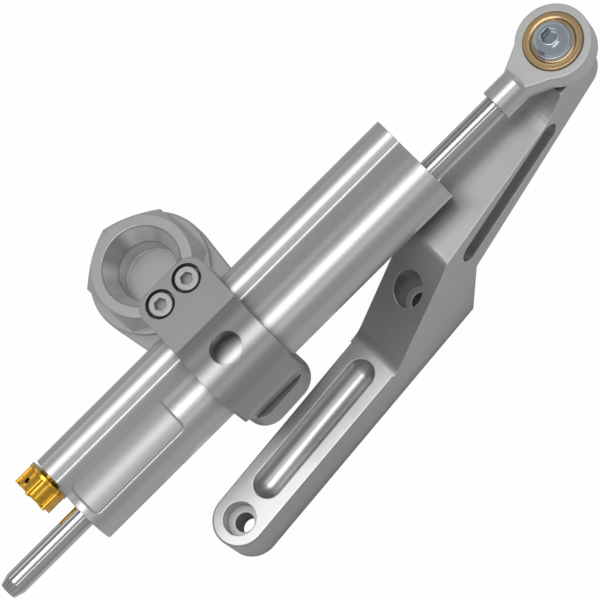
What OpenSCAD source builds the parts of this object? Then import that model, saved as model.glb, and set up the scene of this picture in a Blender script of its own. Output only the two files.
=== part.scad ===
/* [Damper body] */
// Length of the damper body along the rod
body_len = 154; // [140:0.5:170]
// Distance from the pivot axis back to the tail end of the body
body_tail = 69.5; // [60:0.5:75]
// Outer radius of the main lobe, round the rod
main_r = 10.76; // [10.4:0.02:12]
// Outer radius of the side lobe, round the adjuster
side_r = 7.1; // [6.6:0.05:7.8]
// Distance between the axes of the two lobes
lobe_gap = 17.35; // [16.8:0.05:18.5]
// Slope of the flank that leaves the main lobe, from level
web_ang = 31; // [26:0.5:34]
// Radius of the hollow between the flank and the side lobe
web_fillet = 1.7; // [1.2:0.1:2.2]
// Radius of the oil chamber's bore
chamber_r = 8; // [7.4:0.05:8.2]
// Radius of the bore that takes each seal head
head_r = 8.6; // [8.4:0.05:9]
// Stroke of the rod
stroke = 60; // [50:1:66]
// Depth of each retaining ring's groove from its end face
ring_inset = 2; // [1.5:0.1:3]
// Width of each retaining ring's groove
ring_w = 1.2; // [1:0.1:1.6]

/* [Rod and piston] */
// Radius of the rod
rod_r = 4; // [3.5:0.05:4.4]
// Length of rod that shows at the tail
tail_show = 35.4; // [33:0.1:60]
// Length of rod that shows between the body and the rod end
front_show = 30; // [29.5:0.1:60]
// Length of the tapered tip at the rod's tail
tip_len = 3.5; // [2:0.1:6]
// Radius of the rod's tip
tip_r = 2.95; // [2:0.05:3.4]
// Length of the piston
piston_len = 10; // [8:0.5:12]
// Width of the piston's wear band
band_w = 4; // [3:0.25:5]

/* [Seal heads] */
// Length of the rod bush in each seal head
bush_len = 10; // [8:0.5:12]
// Wall of the rod bush
bush_wall = 1; // [0.8:0.05:1.2]
// Depth of the seal and wiper seats round the rod
seal_wall = 2.2; // [1.8:0.05:2.6]
// Length of the rod seal
seal_len = 3.6; // [3:0.1:5]
// Length of the wiper
wiper_len = 4; // [3:0.1:5]
// Length of the relieved nose of each seal head
nose_len = 5; // [4:0.25:7]
// Thickness of a head's sealing ring
head_ring_d = 1.3; // [1:0.05:1.5]

/* [Adjuster] */
// Outer radius of the knob over its ribs
knob_r = 7.75; // [7:0.05:8.4]
// Length of the knob
knob_len = 8.2; // [6:0.1:10]
// Gap between the knob and the body
knob_gap = 1.25; // [0.8:0.05:2]
// Height of the ribs over the panels between them
rib_h = 0.85; // [0.5:0.05:1.2]
// Number of ribs round the knob
ribs = 6; // [5:1:8]
// Radius of the side bore
side_bore_r = 4.5; // [4.2:0.05:4.8]
// Radius of the adjuster shaft
shaft_r = 2; // [1.6:0.05:2.2]
// Radius of the rotary valve's barrel
barrel_r = 3; // [2.7:0.05:3.1]
// Radius of an oil port
port_r = 1.5; // [1:0.05:1.8]
// Radius of the knob's locking screw
grub_r = 1; // [0.8:0.05:1.2]
// Radius of the detent ball
detent_r = 0.8; // [0.6:0.05:0.9]

/* [Reservoir] */
// Length of the floating separator piston
sep_len = 8; // [6:0.5:10]
// Gap between the front oil port and the separator
sep_gap = 3.1; // [2.6:0.1:4]
// Length of the reservoir's plug
plug_len = 10; // [8:0.5:12]
// Depth of the plug's face below the body's end
plug_inset = 1.8; // [1:0.1:3]

/* [Clamp] */
// Wall of the strap round the main lobe
strap_wall = 4.64; // [4:0.02:5.4]
// Width of the strap along the body
strap_w = 26.6; // [24:0.2:30]
// Height of the lug's face above the rod axis
lug_z = 9.7; // [9.2:0.1:10.4]
// Depth of the lower ear's face below the rod axis
ear_z = 9; // [8.4:0.1:9.2]
// Reach of the ears from the rod axis
lug_reach = 35.3; // [35:0.1:38]
// Distance of the clamp screws from the ears' ends
screw_edge = 6; // [5.6:0.1:6.5]
// Spacing of the two clamp screws
screw_pitch = 11.8; // [11:0.1:13.5]
// Radius of the clamp screws' thread
screw_r = 2.5; // [2:0.5:2.5]
// Radius of the clamp screws' heads
screw_head_r = 4.25; // [3.5:0.05:4.5]
// Height of the clamp screws' heads
screw_head_h = 5; // [4:0.1:5.2]
// Radius of the counterbores in the lug
screw_bore_r = 5; // [4.8:0.05:5.2]
// Width of the slit between the two ears
slit = 2; // [1.5:0.1:3]
// Radius of the lug's outer corners
lug_corner = 6; // [4:0.1:7]
// Radius of the access hole in the strap's crown
crown_hole_r = 5.5; // [5.3:0.05:6]
// Depth of the base pad's face below the rod axis
pad_z = 15.54; // [15.4:0.05:16]
// Half width of the base pad across the body
pad_half = 11.65; // [10.5:0.05:12.5]
// Radius of the base pad's corners
pad_corner = 4; // [3:0.1:5]

/* [Pivot] */
// Radius of the pivot bolt
pivot_r = 3; // [2.5:0.05:3.2]
// Radius of the pivot bolt's countersunk head
pivot_head_r = 5.2; // [4.6:0.05:5.25]
// Wall of the pivot bush
pivot_bush_wall = 1.5; // [1.2:0.05:2]
// Thickness of the thrust washer over the boss
thrust_t = 0.5; // [0.4:0.05:0.8]
// Radius of the thrust washer
thrust_r = 8; // [7:0.1:9]
// Thickness of the washer under the boss
washer_t = 1; // [0.8:0.05:1.2]
// Height of the pivot nut
pivot_nut_h = 4.6; // [4:0.1:5]

/* [Stem arm] */
// Distance from the pivot axis to the stem axis
arm_reach = 52.75; // [52:0.25:60]
// Angle that the stem arm is swung back in the rest pose
arm_swing = 3.1; // [0:0.1:6]
// Half width of the pivot boss
boss_half = 13; // [11:0.1:13.4]
// Reach of the pivot boss in front of the pivot axis
boss_front = 13.4; // [13:0.1:15]
// Height of the pivot boss
boss_h = 10.1; // [9.5:0.1:11]
// Half width of the stem arm's plate where it leaves the boss
neck_half = 17; // [13:0.1:18]
// Radius of the stem arm's big end
stem_end_r = 21.4; // [21.1:0.1:22.2]
// Step down from the boss to the arm's plate
plate_drop = 3.5; // [3:0.1:4]
// Radius of the stem bolt's shank
shank_r = 12.5; // [11:0.1:13.5]
// Radius of the stem bolt's thread below its shoulder
thread_r = 12.25; // [11:0.05:12.4]
// Width across the flats of the stem bolt's hexagon
hex_af = 35.6; // [33:0.1:36]
// Height of the stem bolt's hexagon
hex_h = 8.2; // [7:0.1:8.4]
// Radius of the stem bolt's flange
flange_r = 20.8; // [20.6:0.1:21]
// Thickness of the stem bolt's flange
flange_t = 1.8; // [1.5:0.1:2]
// Radius of the countersink at the top of the stem bolt
sink_r = 13.9; // [13:0.1:14]
// Radius of the stem bolt's inner bore
recess_r = 10.1; // [9:0.1:10.4]
// Depth of the countersink
sink_h = 6.9; // [6:0.1:8]
// Depth of the stem bolt's inner bore from the top
recess_h = 14.4; // [13:0.1:18]

/* [Rod end] */
// Distance from the rod end's collar face to its eye
eye_reach = 27; // [26:0.1:30]
// Outer radius of the eye
eye_r = 12.6; // [12:0.1:13.4]
// Half thickness of the eye
eye_half = 4.3; // [4:0.1:4.6]
// Radius of the rod end's collar
collar_r = 5.62; // [5.3:0.02:6]
// Outer radius of the bearing's race
race_r = 10; // [9.8:0.05:10.2]
// Radius of the bearing's ball
ball_r = 8.6; // [8.5:0.05:8.8]
// Half height of the bearing's race
race_half = 4.9; // [4.7:0.05:5]
// Half width of the bearing's ball
ball_half = 5.8; // [5.6:0.05:6]
// Radius of the rod end's bolt
end_bolt_r = 4; // [3.5:0.05:4.2]
// Radius of the button head
button_r = 6.2; // [6:0.05:6.4]
// Height of the button head
button_h = 3.8; // [3:0.1:4]
// Thickness of the spacer under the ball
spacer_t = 1; // [0.8:0.05:1.5]

/* [Mounting arm] */
// Distance from the eye back to the low hole, along the body
low_back = 179.5; // [176:0.5:182]
// Sideways offset of the low hole from the rod axis
low_side = 23.1; // [22:0.1:24]
// Direction of the low section, from the body's direction
low_dir = 5.54; // [4:0.1:7]
// Length of the low section from its hole to the bend
low_len = 101; // [98:0.5:104]
// Half width and end radius of the low section
low_half = 9.5; // [9:0.1:10]
// Extra width on the inner side at the bend
bend_extra = 1.1; // [0.5:0.1:1.5]
// Radius of the arm's end under the eye
arm_end_r = 8.4; // [8:0.1:9]
// Depth of the low section's top face below the rod axis
low_top = 38; // [37:0.5:40]
// Thickness of the low section
low_t = 15; // [13:0.5:16]
// Distance from the low hole to the foot of the slope
foot_x = 70; // [68:0.5:72]
// Rise of the slope for each millimetre along the body
slope = 0.73; // [0.7:0.01:0.78]
// Depth of the upper section's top face below the rod axis
high_top = 11.9; // [11.6:0.1:13]
// Distance from the low hole to the lower corner of the underside
heel_x = 102; // [100:0.5:104]
// Length of the steep rise of the underside
heel_run = 10.4; // [7:0.5:11]
// Depth of the underside below the rod axis, above the steep rise
heel_z = 33.7; // [33:0.1:36]
// Depth of the underside below the rod axis, under the eye
toe_z = 22.6; // [21:0.1:24]
// Radius of the fillet at the foot of the slope
foot_r = 8; // [4:0.5:12]
// Radius of the rounding at the crest of the slope
crest_r = 4; // [2:0.5:6]
// Radius of the hollow that rises to the boss under the eye
scoop_r = 20; // [15:0.5:26]
// Radius of the bolt holes
hole_r = 3.3; // [2.7:0.05:3.4]
// Radius of the counterbores over the bolt holes
cbore_r = 5.7; // [5.4:0.05:5.9]
// Depth of the low hole's counterbore
cbore_h = 5.9; // [5:0.1:8]
// Distance from the low hole to the middle hole
mid_back = 92; // [90:0.5:93]
// Depth of the middle hole's seat below the rod axis
mid_seat = 38.5; // [37:0.5:42]
// Half width of the pocket in the top face
pocket_r = 5.15; // [4.6:0.05:5.4]
// Distance from the low hole to the pocket's near end centre
pocket_a = 14.8; // [14:0.1:20]
// Distance from the low hole to the pocket's far end centre
pocket_b = 61; // [50:0.5:61.5]
// Half height of the slot in the arm's side
slot_r = 4.5; // [4:0.1:4.8]
// Depth of the slot in the arm's side
slot_d = 5; // [4:0.1:8]
// Distance from the eye back to the slot's near end centre
slot_a = 23.5; // [21:0.5:26]
// Distance from the eye back to the slot's far end centre
slot_b = 67; // [50:0.5:68]
// Chamfer along the low section's top edge
edge_c = 0.6; // [0.5:0.1:1.2]

/* [Fits] */
// Radial clearance of a pressed, screwed or seated fit
fit = 0.02; // [0.01:0.01:0.03]
// Radial clearance of a running fit
run = 0.04; // [0.02:0.01:0.06]

/* [Hidden] */
screw_y = lug_reach - screw_edge;
$fn = 96;
eps = 0.01;
body_front = body_len - body_tail;
mid_x = (body_front - body_tail) / 2;
clip_w = 1;
// The chamber is the stroke plus the piston, its clips and a little at each end
chamber_half = (stroke + piston_len) / 2 + clip_w + 0.2;
collar_x = body_front + front_show;
tail_x = -body_tail - tail_show;
// The rod sits this far from its middle position
rod_back = 1;
// Gap between the clamp's pad and the bush and washer under it
seat_gap = 0.03;
piston_x = mid_x - rod_back;
eye_x = collar_x + eye_reach;
head_len = body_len / 2 - chamber_half - ring_inset - ring_w;
strap_r = main_r + strap_wall;
port_tail_x = mid_x - chamber_half - nose_len / 2;
port_front_x = mid_x + chamber_half + nose_len / 2;
housing_end = port_tail_x + 9;
sep_x = port_front_x + sep_gap + port_r;
plug_x = body_front - plug_inset - plug_len;
plug_r = side_bore_r + 0.5;
knob_x = -body_tail - knob_gap;
rib_turn = 38.3;
clicks = 12;
hub_x = -body_tail - 0.1;
detent_off = shaft_r + run + detent_r + 0.3;
hub_r = detent_off + 0.9;
boss_top = -pad_z - thrust_t;
boss_low = boss_top - boss_h;
plate_top = boss_top - plate_drop;
bush_out = pivot_r + fit + pivot_bush_wall;
bush_low = boss_low - 0.1;
flange_top = plate_top + flange_t;
hex_top = flange_top + hex_h;
base_z = -low_top - low_t;
neck_y = 20;
stem_x = -arm_reach * sin(arm_swing);
stem_y = arm_reach * cos(arm_swing);
head_top = -main_r - 0.3;
spacer_low = -ball_half - spacer_t;
low_c = [eye_x - low_back, -low_side];
low_v = [cos(low_dir), sin(low_dir)];
low_n = [-sin(low_dir), cos(low_dir)];
bend_c = low_c + low_len * low_v;
eye_c = [eye_x, 0];
up_dir = atan2(eye_c[1] - bend_c[1], eye_c[0] - bend_c[0]);
up_v = [cos(up_dir), sin(up_dir)];
up_n = [-sin(up_dir), cos(up_dir)];
bend_n = (low_n + up_n) / norm(low_n + up_n);
mid_c = low_c + mid_back * low_v;
foot = low_c[0] + foot_x;
crest = foot + (low_top - high_top) / slope;
heel = low_c[0] + heel_x;
boss_rise = high_top + spacer_low;
scoop_run = sqrt(2 * scoop_r * boss_rise - boss_rise * boss_rise);
scoop_end = eye_x - arm_end_r - 1.6;
scoop_start = scoop_end - scoop_run;
toe_slope = (heel_z - toe_z) / (eye_x - heel - heel_run);

// The origin lies on the stem axis, level with the surface that the assembly stands on
module placed() {
    translate([-stem_x, -stem_y, -base_z]) children();
}

// A solid of revolution round an axis along X, drawn as radius and X
module rev_x(y = 0) {
    translate([0, y, 0]) rotate([0, 90, 0]) rotate_extrude() children();
}

// A rod along X from x0 to x1
module xrod(r, x0, x1, y = 0) {
    translate([x0, y, 0]) rotate([0, 90, 0]) cylinder(r = r, h = x1 - x0);
}

// A ring along X from x0 to x1
module xring(ro, ri, x0, x1, y = 0) {
    rev_x(y) translate([ri, x0]) square([ro - ri, x1 - x0]);
}

// A sealing ring round X, of section radius s, whose middle lies on radius r
module oring(r, s, x, y = 0) {
    rev_x(y) translate([r, x]) circle(r = s, $fn = 32);
}

// Section of the web between the two lobes, grown by g: flat flanks and a hollow fillet
module web_section(g = 0) {
    rm = main_r + g;
    rs = side_r + g;
    rf = web_fillet - g;
    n = [sin(web_ang), cos(web_ang)];
    d = rm + rf;
    e = rs + rf;
    // Fillet centre: at distance d along n, and at distance e from the side lobe
    k = lobe_gap * n[0] - d;
    h = sqrt(e * e - k * k);
    t = [n[1], -n[0]];
    f = [lobe_gap, 0] - k * n - h * t;
    p1 = f - rf * n;
    a0 = atan2(-n[1], -n[0]);
    a1 = atan2(-f[1], lobe_gap - f[0]);
    arc = [for (i = [0:8]) let (a = a0 + (a1 - a0) * i / 8, ra = i < 8 ? rf : rf + 0.012)
        f + ra * [cos(a), sin(a)]];
    upper = concat([0.998 * rm * n], arc, [[lobe_gap, 0]]);
    lower = [for (i = [len(upper) - 2:-1:0]) [upper[i][0], -upper[i][1]]];
    polygon(concat([[0, 0]], upper, lower));
}

module along_x(x0, x1) {
    translate([x0, 0, 0]) rotate([90, 0, 90]) linear_extrude(height = x1 - x0) children();
}

// The body's outer form from x0 to x1, grown by g
module body_bar(x0, x1, g = 0) {
    xrod(main_r + g, x0, x1);
    xrod(side_r + g, x0, x1, lobe_gap);
    along_x(x0, x1) web_section(g);
}

// A round-ended slot outline between two points
module slot2d(a, b, r) {
    v = b - a;
    translate(a) circle(r = r);
    translate(b) circle(r = r);
    translate(a) rotate(atan2(v[1], v[0])) translate([0, -0.997 * r]) square([norm(v), 1.994 * r]);
}

// Hexagon socket
module hex_socket(af, h) {
    cylinder(r = af / 2 / cos(30), h = h, $fn = 6);
}

module damper_body() {
    color("silver") difference() {
        body_bar(-body_tail, body_front);
        xrod(chamber_r, -body_tail - 1, body_front + 1);
        xrod(head_r, -body_tail - 1, mid_x - chamber_half - nose_len);
        xrod(head_r, mid_x + chamber_half + nose_len, body_front + 1);
        for (x = [-body_tail + ring_inset, body_front - ring_inset - ring_w])
            xrod(head_r + 0.7, x, x + ring_w);
        xrod(side_bore_r, -body_tail - 1, body_front + 1, lobe_gap);
        xrod(plug_r, plug_x, body_front + 1, lobe_gap);
        for (x = [port_tail_x, port_front_x])
            translate([x, chamber_r - 1, 0]) rotate([-90, 0, 0])
                cylinder(r = port_r, h = lobe_gap - chamber_r + 1, $fn = 32);
    }
}

// A seal head from its inner face at 0 to its outer face at head_len
module head_profile() {
    ri = rod_r + 0.1;
    difference() {
        union() {
            translate([ri, 0]) square([head_r - fit - 1.8 - ri, nose_len + 1]);
            translate([ri, nose_len]) square([head_r - fit - ri, head_len - nose_len]);
        }
        translate([ri - 1, -1]) square([1 + bush_wall + fit - 0.1, bush_len + 1]);
        translate([ri - 1, head_len - wiper_len - 4 - seal_len])
            square([1 + seal_wall + fit - 0.1, seal_len]);
        translate([ri - 1, head_len - wiper_len]) square([1 + seal_wall + fit - 0.1, wiper_len + 1]);
        translate([head_r - head_ring_d, nose_len + 5]) square([head_ring_d + 1, 2]);
    }
}

module at_front() {
    translate([mid_x + chamber_half, 0, 0]) children();
}

module at_tail() {
    translate([mid_x - chamber_half, 0, 0]) mirror([1, 0, 0]) children();
}

module seal_head_front() {
    color("darkgray") at_front() rev_x() head_profile();
}

module seal_head_tail() {
    color("darkgray") at_tail() rev_x() head_profile();
}

module rod_bushes() {
    color("darkgoldenrod") {
        at_front() xring(rod_r + bush_wall, rod_r + run, 0, bush_len);
        at_tail() xring(rod_r + bush_wall, rod_r + run, 0, bush_len);
    }
}

module seal_ring() {
    x = head_len - wiper_len - 4 - seal_len;
    xring(rod_r + seal_wall, rod_r + run, x + fit, x + seal_len - fit);
}

module rod_seals() {
    color("black") {
        at_front() seal_ring();
        at_tail() seal_ring();
    }
}

module wiper_ring() {
    x = head_len - wiper_len;
    rev_x() polygon([[rod_r + run, x + fit], [rod_r + seal_wall, x + fit],
        [rod_r + seal_wall, head_len], [rod_r + 1.2, head_len],
        [rod_r + 0.5, head_len + 0.8], [rod_r + run, head_len + 0.8]]);
}

module rod_wipers() {
    color("dimgray") {
        at_front() wiper_ring();
        at_tail() wiper_ring();
    }
}

module head_o_rings() {
    s = head_ring_d / 2 - fit;
    color("black") {
        at_front() oring(head_r - head_ring_d / 2, s, nose_len + 6);
        at_tail() oring(head_r - head_ring_d / 2, s, nose_len + 6);
    }
}

module retaining_ring() {
    difference() {
        xring(head_r + 0.7 - fit, head_r - 1.5, head_len + fit, head_len + ring_w - fit);
        translate([head_len - 1, -1.6, 0]) cube([ring_w + 2, 3.2, head_r + 2]);
    }
}

module head_retaining_rings() {
    color("gray") {
        at_front() retaining_ring();
        at_tail() retaining_ring();
    }
}

// Threaded cartridge in the side bore, flush with the body's tail end
module valve_housing() {
    y = lobe_gap;
    color("gainsboro") difference() {
        xrod(side_bore_r - fit, -body_tail, housing_end, y);
        xrod(shaft_r + run, -body_tail - 1, housing_end, y);
        xrod(barrel_r + run, port_tail_x - 6, housing_end + 1, y);
        xring(side_bore_r + 1, side_bore_r - 0.75, port_tail_x - 1.5, port_tail_x + 1.5, y);
        xring(side_bore_r + 1, side_bore_r - 0.9, -body_tail + 7, -body_tail + 8.6, y);
        for (a = [0, 90])
            translate([port_tail_x, y, 0]) rotate([a, 0, 0])
                cylinder(r = 0.9, h = 2 * side_bore_r, center = true, $fn = 32);
        translate([0, 0, -detent_off]) xrod(detent_r + fit, -body_tail - 1, -body_tail + 5, y);
    }
}

module valve_housing_o_ring() {
    color("black") oring(side_bore_r - 0.45, 0.45 - fit, -body_tail + 7.8, lobe_gap);
}

module at_detent() {
    translate([0, lobe_gap, -detent_off]) children();
}

// The ball stands just proud of the cartridge's face, under the dimples of the knob's hub
module detent_ball() {
    color("silver") at_detent() translate([hub_x + detent_r + fit, 0, 0]) sphere(r = detent_r, $fn = 48);
}

module detent_spring() {
    x = hub_x + 2 * detent_r + 2 * fit;
    color("gray") at_detent() xring(detent_r - fit, detent_r - 0.3, x, -body_tail + 5 - fit);
}

module reservoir_plug() {
    y = lobe_gap;
    color("gainsboro") difference() {
        xrod(plug_r - fit, plug_x, plug_x + plug_len, y);
        xring(plug_r + 1, plug_r - 0.9, plug_x + 2, plug_x + 3.6, y);
        translate([plug_x + plug_len - 3, y, 0]) rotate([0, 90, 0]) hex_socket(4, 4);
    }
}

module reservoir_plug_o_ring() {
    color("black") oring(plug_r - 0.45, 0.45 - fit, plug_x + 2.8, lobe_gap);
}

// Outline of the strap's end: the round crown runs straight down to the lug's face
module strap_profile() {
    a = 35;
    circle(r = strap_r);
    x1 = strap_r * sin(a);
    z1 = strap_r * cos(a);
    x2 = x1 + (z1 - lug_z) / tan(a);
    polygon([[0, -ear_z], [lug_reach, -ear_z], [lug_reach, lug_z], [x2, lug_z],
        [0.9985 * x1, 0.9985 * z1], [0, 0]]);
}

module plan_corner(x0, x1, y0, y1, r, q) {
    for (x = [x0 + r, x1 - r]) translate([x, y1 - r]) circle(r = r);
    for (x = [x0 + q, x1 - q]) translate([x, y0 + q]) circle(r = q);
    translate([x0 + r, y0 + q]) square([x1 - x0 - 2 * r, y1 - y0 - q]);
    translate([x0 + q, y0]) square([x1 - x0 - 2 * q, 2 * q]);
    translate([x0, y0 + q]) square([x1 - x0, y1 - y0 - r - q]);
}

module clamp_strap() {
    w = strap_w / 2;
    seat = lug_z - screw_head_h - 0.2;
    color("silver") difference() {
        union() {
            intersection() {
                along_x(-w, w) strap_profile();
                translate([0, 0, -30]) linear_extrude(height = 60)
                    plan_corner(-w, w, -strap_r - 0.05, lug_reach, lug_corner, pad_corner);
            }
            translate([0, 0, -pad_z]) linear_extrude(height = pad_z) {
                translate([-w, -pad_half + pad_corner]) square([2 * w, 2 * (pad_half - pad_corner)]);
                translate([-w + pad_corner, -pad_half]) square([2 * (w - pad_corner), 2 * pad_half]);
                for (x = [-w + pad_corner, w - pad_corner], y = [-pad_half + pad_corner, pad_half - pad_corner])
                    translate([x, y]) circle(r = pad_corner);
            }
        }
        body_bar(-w - 1, w + 1, fit);
        translate([-w - 1, lobe_gap + side_r - 1, -slit / 2]) cube([2 * w + 2, lug_reach, slit]);
        cylinder(r = crown_hole_r, h = strap_r + 5);
        for (x = [-screw_pitch / 2, screw_pitch / 2]) translate([x, screw_y, 0]) {
            translate([0, 0, seat]) cylinder(r = screw_bore_r, h = lug_z);
            cylinder(r = screw_r + 0.15, h = lug_z);
            translate([0, 0, -lug_z - 1]) cylinder(r = screw_r, h = lug_z + 2);
        }
        translate([0, 0, -pad_z - 1]) cylinder(r = pivot_r + fit, h = pad_z);
        translate([0, 0, -main_r - 0.6 - (pivot_head_r - pivot_r)])
            cylinder(r1 = pivot_r + fit, r2 = pivot_head_r + fit, h = pivot_head_r - pivot_r);
        translate([0, 0, -main_r - 0.6]) cylinder(r = pivot_head_r + fit, h = 3);
    }
}

module clamp_screws() {
    seat = lug_z - screw_head_h - 0.2;
    color("lightgray") for (x = [-screw_pitch / 2, screw_pitch / 2])
        translate([x, screw_y, seat]) difference() {
            union() {
                cylinder(r = screw_head_r, h = screw_head_h - 0.4);
                translate([0, 0, screw_head_h - 0.4])
                    cylinder(r1 = screw_head_r, r2 = screw_head_r - 0.4, h = 0.4);
                translate([0, 0, -seat - ear_z + 0.5]) cylinder(r = screw_r - fit, h = seat + ear_z);
            }
            translate([0, 0, screw_head_h - 2.6]) hex_socket(4, 4);
        }
}

module pivot_bolt() {
    tail = bush_low - washer_t - pivot_nut_h - 0.6;
    cone = pivot_head_r - pivot_r;
    color("gray") difference() {
        union() {
            translate([0, 0, -main_r - 0.6]) cylinder(r = pivot_head_r, h = 0.3);
            translate([0, 0, -main_r - 0.6 - cone]) cylinder(r1 = pivot_r, r2 = pivot_head_r, h = cone);
            translate([0, 0, tail]) cylinder(r = pivot_r, h = -main_r - 0.6 - cone - tail);
        }
        translate([0, 0, -main_r - 0.6 - 2]) hex_socket(4, 4);
    }
}

module pivot_bush() {
    color("darkgoldenrod") translate([0, 0, bush_low]) difference() {
        cylinder(r = bush_out, h = -pad_z - bush_low - seat_gap);
        translate([0, 0, -1]) cylinder(r = pivot_r + fit, h = boss_h + 5);
    }
}

module pivot_thrust_washer() {
    color("ivory") translate([0, 0, boss_top]) difference() {
        cylinder(r = thrust_r, h = thrust_t - seat_gap);
        translate([0, 0, -1]) cylinder(r = bush_out + fit, h = 3);
    }
}

module pivot_washer() {
    color("gray") translate([0, 0, bush_low - washer_t]) difference() {
        cylinder(r = thrust_r, h = washer_t);
        translate([0, 0, -1]) cylinder(r = pivot_r + fit, h = 4);
    }
}

module pivot_nut() {
    z = bush_low - washer_t - pivot_nut_h;
    color("gray") translate([0, 0, z]) difference() {
        intersection() {
            cylinder(r = 5 / cos(30), h = pivot_nut_h, $fn = 6);
            cylinder(r1 = 5.1, r2 = 5.1 + 2 * pivot_nut_h, h = pivot_nut_h);
        }
        translate([0, 0, -1]) cylinder(r = pivot_r + fit, h = 8);
    }
}

// Knob drawn from its face near the body, along -X, round its own axis
module adjuster_knob() {
    core = knob_r - rib_h;
    rim = 1.2;
    color("gold") difference() {
        union() {
            xrod(knob_r, knob_x - rim, knob_x, lobe_gap);
            xrod(core, knob_x - knob_len + 0.9, knob_x, lobe_gap);
            translate([knob_x - knob_len + 0.3, lobe_gap, 0]) rotate([0, 90, 0])
                cylinder(r1 = core - 0.7, r2 = core, h = 0.61);
            translate([0, lobe_gap, 0]) along_x(knob_x - knob_len, knob_x - rim + 0.3)
                for (i = [0:ribs - 1]) rotate(rib_turn + i * 360 / ribs) {
                    translate([core - 2, -0.62]) square([2 + rib_h - 0.6, 1.24]);
                    translate([knob_r - 0.72, 0]) circle(r = 0.66, $fn = 32);
                }
            xrod(hub_r, knob_x - 1, hub_x, lobe_gap);
        }
        xrod(shaft_r + fit, knob_x - knob_len + 1.4, hub_x + 1, lobe_gap);
        translate([knob_x - 5, lobe_gap, 0]) rotate([-(90 - rib_turn - 180 / ribs), 0, 0])
            cylinder(r = grub_r, h = knob_r + 1, $fn = 32);
        for (i = [0:clicks - 1]) translate([hub_x, lobe_gap, 0]) rotate([i * 360 / clicks, 0, 0])
            translate([-0.4, 0, -detent_off]) rotate([0, 90, 0]) cylinder(r = 0.55, h = 1, $fn = 24);
    }
}

// The shaft turns in the cartridge, and its drilled barrel meters the oil
module adjuster_shaft() {
    y = lobe_gap;
    color("silver") difference() {
        union() {
            xrod(shaft_r, knob_x - knob_len + 1.4 + fit, port_tail_x - 5, y);
            xrod(barrel_r, port_tail_x - 6 + fit, housing_end - 1, y);
        }
        xrod(1.5, port_tail_x - 2, housing_end, y);
        translate([port_tail_x, y, 0]) cylinder(r = 0.8, h = 2 * barrel_r + 1, center = true, $fn = 32);
        xring(shaft_r + 1, shaft_r - 0.6, -body_tail + 12, -body_tail + 13.2, y);
        translate([knob_x - 5, y, 0]) rotate([-(90 - rib_turn - 180 / ribs), 0, 0])
            translate([0, 0, shaft_r - 0.5]) cylinder(r = grub_r + fit, h = 3, $fn = 32);
    }
}

module adjuster_shaft_o_ring() {
    color("black") oring(shaft_r - 0.28, 0.3, -body_tail + 12.6, lobe_gap);
}

module knob_set_screw() {
    core = knob_r - rib_h;
    color("dimgray") translate([knob_x - 5, lobe_gap, 0]) rotate([-(90 - rib_turn - 180 / ribs), 0, 0])
        translate([0, 0, shaft_r - 0.5 + fit]) difference() {
            cylinder(r = grub_r - fit, h = core - shaft_r - 0.7, $fn = 32);
            translate([0, 0, core - shaft_r - 1.9]) hex_socket(0.9, 3);
        }
}

module separator_piston() {
    color("gainsboro") difference() {
        xrod(side_bore_r - run, sep_x, sep_x + sep_len, lobe_gap);
        xring(side_bore_r + 1, side_bore_r - 1, sep_x + sep_len / 2 - 0.9, sep_x + sep_len / 2 + 0.9, lobe_gap);
        xrod(2.4, sep_x + sep_len - 2.5, sep_x + sep_len + 1, lobe_gap);
    }
}

module separator_o_ring() {
    color("black") oring(side_bore_r - 0.52, 0.46, sep_x + sep_len / 2, lobe_gap);
}

module piston_rod() {
    g = 0.6;
    color("white") rev_x() difference() {
        polygon([[0, tail_x], [tip_r, tail_x], [rod_r, tail_x + tip_len], [rod_r, collar_x],
            [3 - fit, collar_x], [3 - fit, collar_x + 10.6], [2.4, collar_x + 11.2], [0, collar_x + 11.2]]);
        for (x = [piston_x - piston_len / 2 - clip_w, piston_x + piston_len / 2])
            translate([rod_r - g, x]) square([g + 1, clip_w]);
    }
}

module damper_piston() {
    color("gainsboro") difference() {
        xrod(chamber_r - run, piston_x - piston_len / 2, piston_x + piston_len / 2);
        xrod(rod_r + fit, piston_x - piston_len, piston_x + piston_len);
        xring(chamber_r + 1, chamber_r - 1, piston_x - band_w / 2, piston_x + band_w / 2);
    }
}

module piston_band() {
    h = band_w / 2 - fit;
    color("saddlebrown") xring(chamber_r - run / 2, chamber_r - 1 + fit, piston_x - h, piston_x + h);
}

module piston_clips() {
    color("gray") for (x = [piston_x - piston_len / 2 - clip_w, piston_x + piston_len / 2])
        difference() {
            xring(rod_r + 1.5, rod_r - 0.6 + fit, x + fit, x + clip_w - fit);
            translate([x - 1, -1.2, -rod_r - 3]) cube([3, 2.4, rod_r + 3]);
        }
}

// Eye, tapered neck and round collar; the neck's flats begin in a small hollow
module rod_end() {
    s = collar_x + 9.2;
    dx = eye_x - s;
    dist = sqrt(dx * dx + collar_r * collar_r);
    dir = asin(eye_r / dist) - atan2(collar_r, dx);
    run_len = sqrt(dist * dist - eye_r * eye_r);
    flat = collar_x + 10.3;
    color("lightgray") difference() {
        union() {
            xrod(collar_r, collar_x, s + 0.2);
            intersection() {
                translate([s, 0, 0]) rotate([0, 90, 0])
                    cylinder(r1 = collar_r, r2 = 0.995 * (collar_r + run_len * sin(dir)), h = run_len * cos(dir));
                union() {
                    translate([s - 1, -20, -eye_half]) cube([40, 40, 2 * eye_half]);
                    translate([s - 1, -20, -20]) cube([flat - s + 1, 40, 40]);
                }
            }
            translate([eye_x, 0, -eye_half]) cylinder(r = eye_r, h = 2 * eye_half);
        }
        xrod(3, collar_x - 1, collar_x + 12);
        translate([eye_x, 0, -eye_half - 1]) cylinder(r = race_r + fit, h = 2 * eye_half + 2);
    }
}

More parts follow.
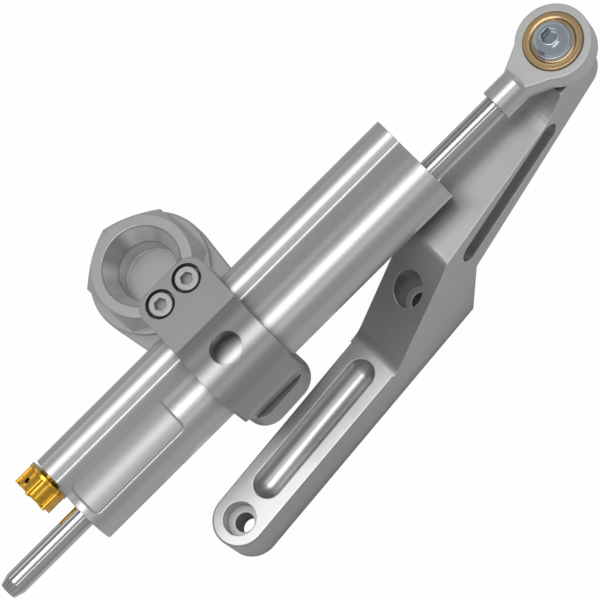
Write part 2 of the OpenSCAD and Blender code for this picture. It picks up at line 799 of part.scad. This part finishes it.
module rod_end_race() {
    h = race_half;
    color("goldenrod") translate([eye_x, 0, 0]) rotate_extrude() difference() {
        polygon([[race_r - 3, -h + 0.9], [race_r - 2.1, -h], [race_r - 0.5, -h], [race_r, -h + 0.5],
            [race_r, h - 0.5], [race_r - 0.5, h], [race_r - 2.1, h], [race_r - 3, h - 0.9]]);
        circle(r = ball_r + run);
    }
}

module swivel_ball() {
    color("silver") translate([eye_x, 0, 0]) rotate_extrude() intersection() {
        circle(r = ball_r);
        translate([end_bolt_r + fit, -ball_half]) square([ball_r, 2 * ball_half]);
    }
}

module rod_end_bolt() {
    // The dome's centre, from the head's rim and its flat top
    rt = 3;
    zr = ball_half + 0.6;
    zt = ball_half + button_h;
    zc = (rt * rt + zt * zt - button_r * button_r - zr * zr) / (2 * (zt - zr));
    rc = sqrt(rt * rt + (zt - zc) * (zt - zc));
    color("lightsteelblue") translate([eye_x, 0, 0]) difference() {
        union() {
            intersection() {
                translate([0, 0, ball_half]) cylinder(r = button_r, h = button_h);
                translate([0, 0, zc]) sphere(r = rc);
            }
            translate([0, 0, -toe_z + 2.5]) cylinder(r = end_bolt_r, h = ball_half + toe_z - 2.5 + 0.5);
        }
        translate([0, 0, zt - 2.6]) hex_socket(5, 5);
    }
}

module rod_end_spacer() {
    color("silver") translate([eye_x, 0, spacer_low]) difference() {
        cylinder(r = 5.6, h = spacer_t);
        translate([0, 0, -1]) cylinder(r = end_bolt_r + fit, h = spacer_t + 2);
    }
}

// Seen from above: a straight low section, a bend and a straight upper section
module arm_plan() {
    q = 0.998;
    ro = low_half * q;
    re = arm_end_r * q;
    translate(low_c) circle(r = low_half);
    translate(eye_c) circle(r = arm_end_r);
    polygon([low_c - ro * low_n, bend_c - low_half * bend_n, eye_c - re * up_n, eye_c + re * up_n,
        bend_c + (low_half + bend_extra) * bend_n, low_c + ro * low_n]);
}

// Rounding of radius r, hollow where r is positive, where the slope meets a level face
function bend_arc(x, z, r, steps) = [for (i = [0:steps])
    let (a = atan(slope) * (r > 0 ? steps - i : i) / steps, t = r * tan(atan(slope) / 2))
        [x - t + r * sin(a), z + r * (1 - cos(a))]];

// Seen from the side: the low section, the slope, the upper section and its boss
module arm_side() {
    x0 = low_c[0] - 2 * low_half;
    x9 = eye_x + 2 * arm_end_r;
    arc = [for (i = [0:8]) let (u = asin(scoop_run / scoop_r) * (8 - i) / 8)
        [scoop_start + scoop_r * sin(u), -high_top + scoop_r * (1 - cos(u))]];
    polygon(concat([[x0, base_z], [heel, base_z], [heel + heel_run, -heel_z],
        [x9, -toe_z + toe_slope * (x9 - eye_x)], [x9, spacer_low]], arc,
        bend_arc(crest, -high_top, -crest_r, 4), bend_arc(foot, -low_top, foot_r, 8),
        [[x0, -low_top]]));
}

// Section of the cutter for a chamfer of width c along an edge at x = r, z = 0
module edge_cut2d(r, c) {
    polygon([[r - c - 1, 1], [r + 2, -c - 2], [r + 2, 1]]);
}

// Chamfer round the top edge of the low section, as far as the foot of the slope
module edge_chamfer() {
    run_l = (foot_x - 3) / low_v[0];
    translate([low_c[0], low_c[1], -low_top]) rotate([0, 0, low_dir]) {
        rotate([0, 0, 90]) rotate_extrude(angle = 180) edge_cut2d(low_half, edge_c);
        rotate([90, 0, 90]) linear_extrude(height = run_l) edge_cut2d(low_half, edge_c);
        rotate([90, 0, 90]) linear_extrude(height = run_l) mirror([1, 0]) edge_cut2d(low_half, edge_c);
    }
}

module mounting_arm() {
    pa = low_c + pocket_a * low_v + 0.3 * low_n;
    pb = low_c + pocket_b * low_v + 0.3 * low_n;
    side = eye_c - arm_end_r * up_n;
    za = -(high_top + 5.9);
    zb = za - 4.3;
    color("silver") difference() {
        intersection() {
            translate([0, 0, base_z - 1]) linear_extrude(height = low_top + low_t + 1) arm_plan();
            translate([0, 60, 0]) rotate([90, 0, 0]) linear_extrude(height = 120) arm_side();
        }
        edge_chamfer();
        translate([low_c[0], low_c[1], base_z - 1]) cylinder(r = hole_r, h = 40);
        translate([low_c[0], low_c[1], -low_top - cbore_h]) cylinder(r = cbore_r, h = 40);
        translate([mid_c[0], mid_c[1], base_z - 1]) cylinder(r = hole_r, h = 60);
        translate([mid_c[0], mid_c[1], -mid_seat]) cylinder(r = cbore_r, h = 60);
        translate([eye_x, 0, -60]) cylinder(r = end_bolt_r + fit, h = 80);
        // Ball-nosed pocket: a rod with a ball at each end
        translate([pa[0], pa[1], -low_top + 0.15]) sphere(r = pocket_r);
        translate([pb[0], pb[1], -low_top + 0.15]) sphere(r = pocket_r);
        translate([pa[0], pa[1], -low_top + 0.15]) rotate([0, 90, low_dir])
            cylinder(r = pocket_r - 0.01, h = norm(pb - pa));
        // Side slot, cut square to the outer face of the upper section
        translate([side[0], side[1], 0]) rotate([90, 0, up_dir + 0.5]) translate([0, 0, -slot_d])
            linear_extrude(height = slot_d + 10) slot2d([-slot_b, zb], [-slot_a, za], slot_r);
    }
}

// Tapered plate between the pivot boss and the big end, drawn with the stem on +Y
module arm_outline() {
    d = arm_reach - neck_y;
    sa = (stem_end_r - neck_half) / d;
    ca = sqrt(1 - sa * sa);
    q = 0.998;
    translate([0, arm_reach]) circle(r = stem_end_r);
    polygon([[-boss_half + 0.01, 0], [boss_half - 0.01, 0], [q * neck_half * ca, neck_y],
        [q * stem_end_r * ca, arm_reach - stem_end_r * sa],
        [-q * stem_end_r * ca, arm_reach - stem_end_r * sa], [-q * neck_half * ca, neck_y]]);
    boss_outline();
}

module boss_outline() {
    c = 8;
    for (x = [-boss_half + c, boss_half - c]) {
        translate([x, -boss_front + c]) circle(r = c);
        translate([x, 4.5]) circle(r = c);
    }
    translate([-boss_half + c, -boss_front]) square([2 * (boss_half - c), boss_front + 4.5 + c]);
    translate([-boss_half, -boss_front + c]) square([2 * boss_half, boss_front - c + 4.5]);
}

module stem_arm() {
    color("silver") rotate([0, 0, arm_swing]) difference() {
        union() {
            translate([0, 0, boss_low]) linear_extrude(height = boss_h) boss_outline();
            translate([0, 0, boss_low]) linear_extrude(height = boss_h - plate_drop) arm_outline();
        }
        translate([0, 0, boss_low - 1]) cylinder(r = bush_out + run, h = boss_h + 2);
        translate([0, arm_reach, boss_low - 1]) cylinder(r = shank_r + fit, h = boss_h);
    }
}

module stem_bolt() {
    cr = hex_af / 2 / cos(30);
    top = hex_top - base_z;
    color("silver") rotate([0, 0, arm_swing]) translate([0, arm_reach, base_z]) difference() {
        union() {
            cylinder(r = thread_r, h = plate_top - base_z);
            translate([0, 0, boss_low - base_z - 0.5]) cylinder(r = shank_r, h = plate_top - boss_low + 0.6);
            translate([0, 0, plate_top - base_z]) cylinder(r = flange_r, h = flange_t);
            intersection() {
                translate([0, 0, plate_top - base_z]) rotate([0, 0, 90])
                    cylinder(r = cr, h = flange_t + hex_h, $fn = 6);
                translate([0, 0, top - 30]) cylinder(r1 = hex_af / 2 + 30 - 0.4, r2 = hex_af / 2 - 0.4, h = 30);
            }
        }
        translate([0, 0, top - recess_h]) cylinder(r = recess_r, h = recess_h + 1);
        translate([0, 0, top - sink_h]) cylinder(r1 = recess_r, r2 = sink_r, h = sink_h + eps);
    }
}

placed() damper_body();
placed() seal_head_front();
placed() seal_head_tail();
placed() rod_bushes();
placed() rod_seals();
placed() rod_wipers();
placed() head_o_rings();
placed() head_retaining_rings();
placed() valve_housing();
placed() valve_housing_o_ring();
placed() detent_ball();
placed() detent_spring();
placed() reservoir_plug();
placed() reservoir_plug_o_ring();
placed() clamp_strap();
placed() clamp_screws();
placed() pivot_bolt();
placed() pivot_bush();
placed() pivot_thrust_washer();
placed() pivot_washer();
placed() pivot_nut();
placed() adjuster_knob();
placed() adjuster_shaft();
placed() adjuster_shaft_o_ring();
placed() knob_set_screw();
placed() separator_piston();
placed() separator_o_ring();
placed() piston_rod();
placed() damper_piston();
placed() piston_band();
placed() piston_clips();
placed() rod_end();
placed() rod_end_race();
placed() swivel_ball();
placed() rod_end_bolt();
placed() rod_end_spacer();
placed() mounting_arm();
placed() stem_arm();
placed() stem_bolt();
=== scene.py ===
import math

import bpy
from mathutils import Matrix, Vector


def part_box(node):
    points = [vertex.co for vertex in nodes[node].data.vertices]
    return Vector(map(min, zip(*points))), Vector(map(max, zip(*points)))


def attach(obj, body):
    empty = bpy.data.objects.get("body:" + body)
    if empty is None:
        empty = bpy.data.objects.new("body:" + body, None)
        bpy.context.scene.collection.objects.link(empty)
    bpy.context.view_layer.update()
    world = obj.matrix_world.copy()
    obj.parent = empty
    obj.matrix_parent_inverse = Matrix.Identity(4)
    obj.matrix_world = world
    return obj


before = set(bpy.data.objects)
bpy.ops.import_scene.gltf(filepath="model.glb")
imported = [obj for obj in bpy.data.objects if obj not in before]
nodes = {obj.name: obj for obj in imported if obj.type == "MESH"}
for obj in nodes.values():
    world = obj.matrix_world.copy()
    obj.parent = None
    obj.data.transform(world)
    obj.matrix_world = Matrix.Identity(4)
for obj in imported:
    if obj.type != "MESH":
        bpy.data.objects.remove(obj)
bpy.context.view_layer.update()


# Camera: about 1.3 m from the damper, high over the side with the mounting arm,
# and rolled so that the damper runs from the lower left of the picture to the
# upper right. The field is 191 mm wide at the damper's middle.
distance = 1.3
field = 0.19108
film = 36.0
picture_right = Vector((0.7084, -0.6395, -0.2988)).normalized()
picture_up = Vector((0.7052, 0.6580, 0.2640))
picture_up = (picture_up - picture_up.dot(picture_right) * picture_right).normalized()
toward_camera = picture_right.cross(picture_up)
aim = Vector((0.02961, -0.05226, 0.05237))
camera = bpy.data.objects.new("camera", bpy.data.cameras.new("camera"))
bpy.context.scene.collection.objects.link(camera)
turn = Matrix((picture_right, picture_up, toward_camera)).transposed().to_4x4()
camera.matrix_world = Matrix.Translation(aim + distance * toward_camera) @ turn
camera.data.sensor_width = film
camera.data.lens = film * distance / field
camera.data.clip_start, camera.data.clip_end = 0.05, 20.0
bpy.context.scene.camera = camera
bpy.context.scene.view_settings.view_transform = "Standard"


# Floor: a matt white table top under the part. The camera sees it as plain
# white with a trace of the part's shadow, and the metal sees it as a pale
# surface lit by the lamps.
class Signal:
    def __init__(self, tree, socket):
        self.tree, self.socket = tree, socket

    def math(self, operation, first, second=None):
        node = self.tree.nodes.new("ShaderNodeMath")
        node.operation = operation
        for place, term in enumerate((first, second)):
            if isinstance(term, Signal):
                self.tree.links.new(term.socket, node.inputs[place])
            elif term is not None:
                node.inputs[place].default_value = term
        return Signal(self.tree, node.outputs[0])

    def __add__(self, other):
        return self.math("ADD", self, other)

    def __radd__(self, other):
        return self.math("ADD", other, self)

    def __sub__(self, other):
        return self.math("SUBTRACT", self, other)

    def __rsub__(self, other):
        return self.math("SUBTRACT", other, self)

    def __mul__(self, other):
        return self.math("MULTIPLY", self, other)

    def __truediv__(self, other):
        return self.math("DIVIDE", self, other)

    def __pow__(self, other):
        return self.math("POWER", self, other)

    def __abs__(self):
        return self.math("ABSOLUTE", self)

    def at_least(self, other):
        return self.math("MAXIMUM", self, other)

    def at_most(self, other):
        return self.math("MINIMUM", self, other)

    def sine(self):
        return self.math("SINE", self)


class Finish:
    def __init__(self, name):
        self.material = bpy.data.materials.new(name)
        self.material.use_nodes = True
        self.tree = self.material.node_tree
        self.tree.nodes.clear()

    def node(self, kind, settings=None, inputs=None, output=0):
        node = self.tree.nodes.new(kind)
        for key, value in (settings or {}).items():
            setattr(node, key, value)
        for key, value in (inputs or {}).items():
            if isinstance(value, Signal):
                self.tree.links.new(value.socket, node.inputs[key])
            else:
                node.inputs[key].default_value = value
        return Signal(self.tree, node.outputs[output])

    def coordinates(self):
        place = self.node("ShaderNodeTexCoord", output=3)
        split = self.node("ShaderNodeSeparateXYZ", inputs={0: place})
        axes = [Signal(self.tree, split.socket.node.outputs[i]) for i in range(3)]
        return place, axes

    def noise(self, place, scale, stretch=(1, 1, 1), detail=2.0, rough=0.5):
        if stretch != (1, 1, 1):
            place = self.node("ShaderNodeMapping", inputs={0: place, 3: stretch})
        sizes = {0: place, 2: scale, 3: detail, 4: rough}
        return self.node("ShaderNodeTexNoise", inputs=sizes)

    def colour(self, amount, low, high):
        inputs = {0: amount, 6: (*low, 1.0), 7: (*high, 1.0)}
        return self.node("ShaderNodeMix", {"data_type": "RGBA"}, inputs, output=2)

    def surface(self, shader):
        end = self.tree.nodes.new("ShaderNodeOutputMaterial")
        self.tree.links.new(shader.socket, end.inputs[0])


white_top = Finish("white_table_top")
straight = white_top.node("ShaderNodeLightPath")
matt = white_top.node("ShaderNodeBsdfDiffuse", inputs={0: (0.80, 0.80, 0.80, 1.0)})
plain = white_top.node("ShaderNodeEmission", inputs={0: (1.0, 1.0, 1.0, 1.0), 1: 1.0})
seen = white_top.node("ShaderNodeMixShader", inputs={0: straight * 0.98, 1: matt, 2: plain})
white_top.surface(seen)
half = 1.6
drop = -0.0001
table = bpy.data.meshes.new("table_top")
corners = [(-half, -half, drop), (half, -half, drop), (half, half, drop), (-half, half, drop)]
table.from_pydata(corners, [], [(0, 1, 2, 3)])
table.materials.append(white_top.material)
table_top = bpy.data.objects.new("table_top", table)
bpy.context.scene.collection.objects.link(table_top)


# Light: a soft box straight overhead, which gives the body its long
# highlight, a strip in front, a box on the left over the arm's low end and a
# weak one behind, in an even grey room.
def soft_box(name, place, aim_at, width, height, radiance):
    lamp = bpy.data.lights.new(name, "AREA")
    lamp.shape = "RECTANGLE"
    lamp.size, lamp.size_y = width, height
    lamp.energy = radiance * math.pi * width * height
    box = bpy.data.objects.new(name, lamp)
    bpy.context.scene.collection.objects.link(box)
    box.location = place
    toward = Vector(aim_at) - Vector(place)
    box.rotation_euler = toward.to_track_quat("-Z", "Y").to_euler()


soft_box("overhead_box", (0.03, -0.08, 1.50), (0.03, -0.05, 0.05), 0.95, 0.50, 3.0)
soft_box("front_strip", (0.03, -0.89, 1.05), (0.03, -0.05, 0.05), 1.0, 0.18, 1.3)
soft_box("left_box", (-0.22, 0.25, 1.45), (-0.03, -0.06, 0.02), 0.42, 0.30, 2.2)
soft_box("back_box", (-0.30, 1.10, 0.75), (0.0, 0.0, 0.03), 0.70, 0.45, 0.6)
room = bpy.data.worlds.new("grey_room")
bpy.context.scene.world = room
room.use_nodes = True
room.node_tree.nodes["Background"].inputs[0].default_value = (0.36, 0.36, 0.36, 1.0)
room.node_tree.nodes["Background"].inputs[1].default_value = 1.0


# Damper body: aluminium tube drawn with its two lobes in one piece, then
# anodised in clear satin. The drawing leaves fine lines along it, and a plain
# rounded frame on its tail end has a rougher ground; the frame's groove is
# painted darker, painted shade in the crease.
even = (1, 1, 1)
recess_reach = 0.007
groove_depth, groove_shade = 0.00018, 0.45
ground_roughening = 0.13


def clamped(signal):
    return signal.at_most(1.0).at_least(0.0)


# A finish's grain is the noise's scale, its stretch and its height. Tone and
# uneven are how far the grain shifts colour and roughness, edge is the radius
# of broken corners, the recess shade argument the strength of painted shade in
# recesses, and reach the range of the lighter and darker marks.
def metal(name, colour, roughness, grain, tone=0.05, edge=0.00030, uneven=0.05,
          groove=None, painted_recess_shade=0.6, marks=None, metallic=1.0, reach=0.55):
    finish = Finish(name)
    place, axes = finish.coordinates()
    size, stretch, depth = grain
    fine = finish.noise(place, size, stretch, rough=0.55)
    cloud = finish.noise(place, 55.0, detail=3.0, rough=0.6)
    rounded = finish.node("ShaderNodeBevel", {"samples": 6}, {0: edge})
    true_normal = finish.node("ShaderNodeNewGeometry", output=1)
    level = finish.node("ShaderNodeVectorMath", {"operation": "DOT_PRODUCT"},
                        {0: rounded, 1: true_normal}, output=1)
    corner = clamped((1.0 - level) * 6.0)
    shade = (fine * 0.6 + cloud * 0.4 - 0.5) * 2.0
    bright = tuple(min(1.0, c * (1 + tone)) for c in colour)
    dull = tuple(c * (1 - tone) for c in colour)
    graininess = 0.5
    if marks:
        bright = tuple(min(1.0, c * (1 + reach)) for c in colour)
        dull = tuple(c * (1 - reach) for c in colour)
        graininess = tone
    # Broken corners are also painted lighter, a painted highlight along the edges.
    amount = clamped(shade * graininess + 0.5 + corner * 0.35)
    height = fine * depth
    if marks:
        amount = clamped(amount + marks(finish, axes))
    # Painted shade: where ambient occlusion finds a recess, the colour is mixed towards a dark copy
    # of itself.
    open_air = finish.node("ShaderNodeAmbientOcclusion", {"samples": 6}, {"Distance": recess_reach},
                           output=1)
    painted_recess_shade = painted_recess_shade(axes) if callable(painted_recess_shade) else painted_recess_shade
    metallic = metallic(axes) if callable(metallic) else metallic
    recess = clamped((1.0 - open_air) * 1.25 - 0.2) * painted_recess_shade
    # A groove is cut into the bump and painted darker along its line: painted shade in the crease.
    if groove:
        line = groove(finish, axes)
        height = height - line * groove_depth
        amount = (amount - line * groove_shade).at_least(0.0)
    bump = finish.node("ShaderNodeBump", inputs={"Strength": 1.0, "Distance": 1.0,
                                                 "Height": height, "Normal": rounded})
    rough = (roughness + shade * uneven - corner * 0.08).at_least(0.03)
    if groove:
        rough = rough + plate_ground(axes) * ground_roughening
    in_shade = tuple(c * 0.10 for c in colour)
    shaded = finish.node("ShaderNodeMix", {"data_type": "RGBA"}, {
        0: recess, 6: finish.colour(amount, dull, bright), 7: (*in_shade, 1.0)}, output=2)
    shader = finish.node("ShaderNodeBsdfPrincipled", inputs={
        "Base Color": shaded, "Metallic": metallic, "Roughness": rough, "Normal": bump})
    finish.surface(shader)
    return finish.material


def dress(material, *names):
    for name in names:
        for slot in nodes[name].material_slots:
            slot.material = material


# The rod's axis, the tube's radius, and the place and sizes of the frame.
rod_y, rod_z = -0.052673, 0.053
tube_r = 0.01076
plate_x, plate_half_length, plate_half_width, plate_corner = -0.0440, 0.0178, 0.0053, 0.0020
frame_width = 0.00042
frame_sharpness = 3000.0


def angle_round_rod(axes):
    return axes[1].math("ARCTAN2", axes[1] - rod_y, axes[2] - rod_z)


def plate_rim(axes):
    side = (abs(angle_round_rod(axes) * tube_r) - plate_half_width).at_least(0.0)
    end = (abs(axes[0] - plate_x) - plate_half_length).at_least(0.0)
    return (side * side + end * end) ** 0.5 - plate_corner


def plate_frame(finish, axes):
    return (1.0 - abs(plate_rim(axes)) / frame_width).at_least(0.0)


def plate_ground(axes):
    return clamped(0.5 - plate_rim(axes) * frame_sharpness)


drawn = (1700, (0.015, 1, 1), 0.000006)
clear_anodised = (0.62, 0.622, 0.626)
dress(metal("drawn_aluminium", clear_anodised, 0.37, drawn, 0.09, 0.00035, 0.07,
            groove=plate_frame), "damper_body")


# Seal heads and cartridges: turned aluminium, clear anodised. Only their end
# faces show, in the mouths of the body.
turned = (5200, even, 0.000006)
dress(metal("turned_aluminium", (0.62, 0.625, 0.63), 0.34, turned),
      "seal_head_front", "seal_head_tail", "valve_housing", "reservoir_plug",
      "separator_piston", "damper_piston")


# Rings, clips, detent and the knob's set screw: oiled steel, dark and slightly
# glossy.
dress(metal("oiled_steel", (0.20, 0.20, 0.21), 0.38, turned, 0.10),
      "head_retaining_rings", "piston_clips", "detent_ball", "detent_spring", "knob_set_screw")


# Seals, wipers and sealing rings: black rubber with a faint bloom.
def rubber(name, colour, roughness):
    finish = Finish(name)
    place = finish.coordinates()[0]
    fine = finish.noise(place, 5200.0, rough=0.6)
    bloom = finish.noise(place, 420.0, detail=3.0, rough=0.6)
    low, high = tuple(c * 0.8 for c in colour), tuple(c * 1.5 for c in colour)
    bump = finish.node("ShaderNodeBump", inputs={"Strength": 1.0, "Distance": 1.0,
                                                 "Height": fine * 0.00002})
    shader = finish.node("ShaderNodeBsdfPrincipled", inputs={
        "Base Color": finish.colour(bloom, low, high), "Normal": bump,
        "Roughness": roughness + (bloom - 0.5) * 0.2})
    finish.surface(shader)
    return finish.material


dress(rubber("black_rubber", (0.020, 0.020, 0.021), 0.55),
      "rod_seals", "rod_wipers", "head_o_rings", "valve_housing_o_ring",
      "reservoir_plug_o_ring", "adjuster_shaft_o_ring", "separator_o_ring")


# Thrust washer and piston band: ivory slip plastic, with the same faint bloom.
dress(rubber("ivory_slip_plastic", (0.50, 0.48, 0.42), 0.45), "pivot_thrust_washer", "piston_band")


# Piston rod: steel, ground, chromed and polished, with the faint rings of the
# last grinding pass round it. Streaks along it are painted reflections: the
# rod is painted a little lighter, and darker along bands round its axis.
ground = (5200, (1, 0.02, 0.02), 0.0000012)
streak_steepness = 1.6
# Each painted reflection streak's angle round the rod, its half width and its depth.
reflection_streak_table = ((-1.15, 0.22, 0.50), (-0.62, 0.10, 0.35), (-0.25, 0.10, 0.45),
                (0.06, 0.08, 0.80), (0.42, 0.16, 0.50), (0.95, 0.25, 0.45))


def painted_reflection_streaks(finish, axes):
    round_rod = angle_round_rod(axes)
    streaks = 0.0
    for angle, width, depth in reflection_streak_table:
        streak = clamped(streak_steepness - abs(round_rod - angle) * (streak_steepness / width))
        streaks = streak * depth + streaks
    # Painted reflection: lighter overall, darker along each streak.
    return 0.12 - streaks


dress(metal("polished_chrome", (0.64, 0.644, 0.65), 0.15, ground, 0.03, 0.0003, 0.03,
            painted_recess_shade=0.4, marks=painted_reflection_streaks, reach=0.45), "piston_rod")


# Bushes and the rod end's race: turned brass. The race is painted pale round
# its inner edge and dark round its outer one.
low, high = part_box("rod_end_race")
eye = (low + high) / 2
race_r = (high.x - low.x) / 2
pale_from, dark_from = 0.86, 0.955


def pale_and_dark_race_rings(finish, axes):
    x, y = axes[0] - eye.x, axes[1] - eye.y
    out = (x * x + y * y) ** 0.5 / race_r
    pale = clamped((pale_from - out) * 12.0)
    dark = clamped((out - dark_from) * 30.0)
    return pale * 0.5 - dark * 0.45


brass = (0.66, 0.455, 0.235)
dress(metal("turned_brass", brass, 0.24, turned, 0.10, 0.0003, 0.08), "rod_bushes", "pivot_bush")
dress(metal("ringed_race_brass", brass, 0.24, turned, 0.10, 0.0003, 0.08,
            painted_recess_shade=0.4, marks=pale_and_dark_race_rings), "rod_end_race")


# Adjuster knob: aluminium, milled with six ribs and anodised in gold.
cut = (4200, even, 0.000006)
dress(metal("gold_anodised", (0.86, 0.47, 0.055), 0.22, cut, 0.10, 0.00025, painted_recess_shade=0.8),
      "adjuster_knob")


# Clamp strap: aluminium, milled from bar along its lobes, a little darker
# than the body.
milled = (1900, (0.03, 1, 1), 0.000008)
dress(metal("milled_clamp", (0.41, 0.412, 0.415), 0.35, milled, 0.09, 0.00035, 0.07,
            painted_recess_shade=0.2, metallic=0.82), "clamp_strap")


# Screws, washers, nut, rod end and ball: steel with bright zinc plating.
plated = (4600, even, 0.000008)
dress(metal("bright_zinc", (0.60, 0.60, 0.61), 0.32, plated, 0.08, 0.0003, 0.07),
      "clamp_screws", "pivot_bolt", "pivot_washer", "pivot_nut", "adjuster_shaft",
      "rod_end_spacer")
dress(metal("bead_blasted_eye", (0.66, 0.66, 0.665), 0.36, plated, 0.06, 0.0004, 0.06), "rod_end")
dress(metal("ball_steel", (0.66, 0.66, 0.67), 0.16, plated, 0.06), "swivel_ball")


# Rod end bolt: button head in blue zinc, with a hexagon socket.
dress(metal("blue_zinc", (0.60, 0.67, 0.76), 0.17, plated, 0.20, 0.0003, 0.10), "rod_end_bolt")


# Mounting arm and stem arm: milled from solid aluminium, bead blasted and clear
# anodised. The mounting arm carries painted light: its upward faces are painted
# brighter towards its low end, a painted highlight, and the rest of it is
# painted a little darker.
blasted = (1900, even, 0.000012)
painted_light_to_x = 0.045
upper_section_x = 0.075


# Painted highlight: upward faces near the arm's low end are made lighter, and the rest a little
# darker.
def painted_light_low_end(finish, axes):
    facing = finish.node("ShaderNodeNewGeometry", output=1)
    facing_up = finish.node("ShaderNodeSeparateXYZ", inputs={0: facing}, output=2)
    near_end = clamped((painted_light_to_x - axes[0]) * 28.0)
    upward = clamped((facing_up - 0.80) * 6.0)
    return near_end * (upward * 0.66 - 0.10) - 0.06


# Strength of the painted recess shade on the mounting arm: strong on its low section, weak past the
# upper section's start.
def arm_shade(axes):
    return 0.65 - clamped((axes[0] - upper_section_x) * 60.0) * 0.55


dress(metal("blasted_arm", clear_anodised, 0.36, blasted, 0.09, 0.00045, 0.07,
            painted_recess_shade=arm_shade, marks=painted_light_low_end, metallic=0.92), "mounting_arm")
dress(metal("blasted_stem_arm", (0.50, 0.50, 0.505), 0.42, blasted, 0.08, 0.0004, 0.06,
            painted_recess_shade=0.2, metallic=0.82), "stem_arm")


# Stem bolt: turned aluminium. Its countersink's cone is painted with lighter
# and darker sectors round the bore, painted reflections of the turned cone's
# highlights.
cone_inner_r, cone_outer_r = 0.0102, 0.0137
cone_sharpness = 4000.0


def cone_band(axes):
    out = (axes[0] * axes[0] + axes[1] * axes[1]) ** 0.5
    past_bore = clamped((out - cone_inner_r) * cone_sharpness)
    within_rim = clamped((cone_outer_r - out) * cone_sharpness)
    return past_bore * within_rim


def cone_metallic(axes):
    return 0.85 - cone_band(axes) * 0.4


# Painted reflection: lighter and darker sectors round the bore, only on the cone.
def cone_painted_sectors(finish, axes):
    round_bore = axes[0].math("ARCTAN2", axes[1], axes[0])
    wide = (round_bore * 2.0 + 0.9).sine() * 0.5
    middling = (round_bore * 5.0 + 2.0).sine() * 0.35
    narrow = (round_bore * 11.0).sine() * 0.2
    return (wide + middling + narrow + 0.45) * cone_band(axes) * 0.6


dress(metal("turned_stem_bolt", (0.59, 0.592, 0.596), 0.32, turned, 0.07, 0.0004, 0.06,
            painted_recess_shade=0.15, marks=cone_painted_sectors, metallic=cone_metallic), "stem_bolt")


# Threads: the stem bolt's shank and the pivot bolt's tail carry a cut thread,
# one ridge wound round the shank from end to end.
def thread_tree():
    tree = bpy.data.node_groups.new("wound_ridge", "GeometryNodeTree")
    for name, kind in (("Radius", "Float"), ("Length", "Float"), ("Pitch", "Float"),
                       ("Ridge", "Float"), ("Steps", "Int"), ("Finish", "Material")):
        tree.interface.new_socket(name, in_out="INPUT", socket_type="NodeSocket" + kind)
    tree.interface.new_socket("Geometry", in_out="OUTPUT", socket_type="NodeSocketGeometry")
    given = tree.nodes.new("NodeGroupInput")
    result = tree.nodes.new("NodeGroupOutput")
    turns = tree.nodes.new("ShaderNodeMath")
    turns.operation = "DIVIDE"
    spiral = tree.nodes.new("GeometryNodeCurveSpiral")
    section = tree.nodes.new("GeometryNodeCurvePrimitiveCircle")
    section.inputs["Resolution"].default_value = 4
    sweep = tree.nodes.new("GeometryNodeCurveToMesh")
    sweep.inputs["Fill Caps"].default_value = True
    real = tree.nodes.new("GeometryNodeRealizeInstances")
    coat = tree.nodes.new("GeometryNodeSetMaterial")
    join = tree.links.new
    join(given.outputs["Length"], turns.inputs[0])
    join(given.outputs["Pitch"], turns.inputs[1])
    join(turns.outputs[0], spiral.inputs["Rotations"])
    join(given.outputs["Steps"], spiral.inputs["Resolution"])
    join(given.outputs["Radius"], spiral.inputs["Start Radius"])
    join(given.outputs["Radius"], spiral.inputs["End Radius"])
    join(given.outputs["Length"], spiral.inputs["Height"])
    join(given.outputs["Ridge"], section.inputs["Radius"])
    join(spiral.outputs[0], sweep.inputs["Curve"])
    join(section.outputs[0], sweep.inputs["Profile Curve"])
    join(sweep.outputs[0], real.inputs[0])
    join(real.outputs[0], coat.inputs["Geometry"])
    join(given.outputs["Finish"], coat.inputs["Material"])
    join(coat.outputs[0], result.inputs[0])
    return tree


wound_ridge = thread_tree()


def thread(name, centre, radius, length, pitch, ridge, steps, finish, body):
    carrier = bpy.data.objects.new(name + "_carrier", bpy.data.meshes.new(name + "_carrier"))
    bpy.context.scene.collection.objects.link(carrier)
    modifier = carrier.modifiers.new("ridge", "NODES")
    modifier.node_group = wound_ridge
    values = {"Radius": radius, "Length": length, "Pitch": pitch, "Ridge": ridge,
              "Steps": steps, "Finish": finish}
    for item in wound_ridge.interface.items_tree:
        if item.in_out == "INPUT":
            modifier[item.identifier] = values[item.name]
    bpy.context.view_layer.update()
    graph = bpy.context.evaluated_depsgraph_get()
    mesh = bpy.data.meshes.new_from_object(carrier.evaluated_get(graph))
    bpy.data.objects.remove(carrier)
    mesh.name = name
    mesh.transform(Matrix.Translation(centre))
    for face in mesh.polygons:
        face.use_smooth = False
    piece = bpy.data.objects.new(name, mesh)
    bpy.context.scene.collection.objects.link(piece)
    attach(piece, body)


stem_finish = bpy.data.materials["turned_stem_bolt"]
thread("stem_bolt_thread", (0, 0, 0.0009), radius=0.01222, length=0.0250, pitch=0.00125,
       ridge=0.00042, steps=40, finish=stem_finish, body="stem")
zinc = bpy.data.materials["bright_zinc"]
low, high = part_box("pivot_bolt")
middle = (low + high) / 2
thread("pivot_bolt_thread", (middle.x, middle.y, low.z + 0.0003), radius=0.00296,
       length=0.0003, pitch=0.0003, ridge=0.00012, steps=24, finish=zinc, body="damper")
